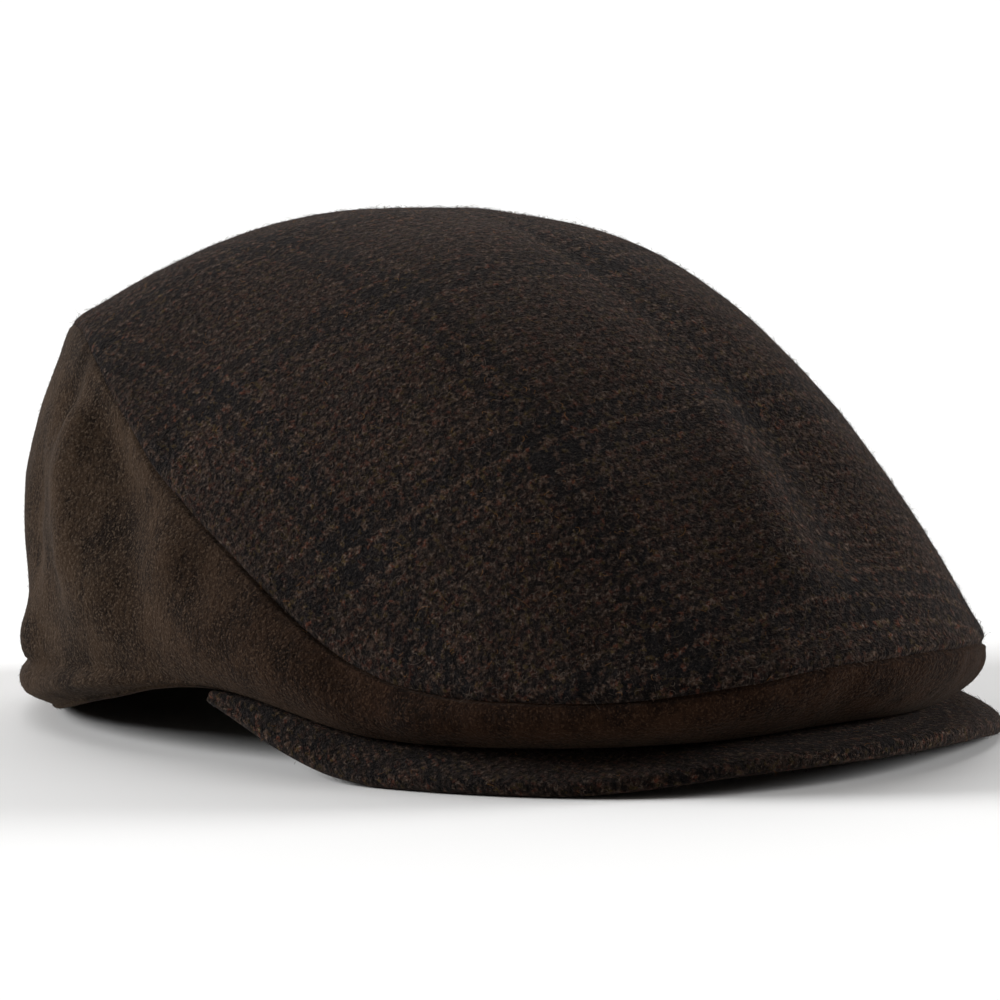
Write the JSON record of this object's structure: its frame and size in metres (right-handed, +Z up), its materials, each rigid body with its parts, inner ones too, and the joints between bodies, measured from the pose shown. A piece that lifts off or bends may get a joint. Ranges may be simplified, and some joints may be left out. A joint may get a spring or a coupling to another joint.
{
  "type": "flat cap",
  "caption": "Flat cap: a domed tweed crown sloping to the front, a suede band round back and sides, and a short stiff visor under it; hollow for the head",
  "frame": {"origin": "the middle of the cap's box, on the surface that the cap rests on", "axes": "+Z up, the front and its visor towards -Y, the wearer's left towards +X"},
  "size_m": [0.1904, 0.2636, 0.1175],
  "materials": {
    "tweed": "matte",
    "suede": "matte"
  },
  "bodies": {
    "root": {"crown_panel": "tweed", "side_band": "suede", "visor": "tweed"}
  },
  "joints": []
}
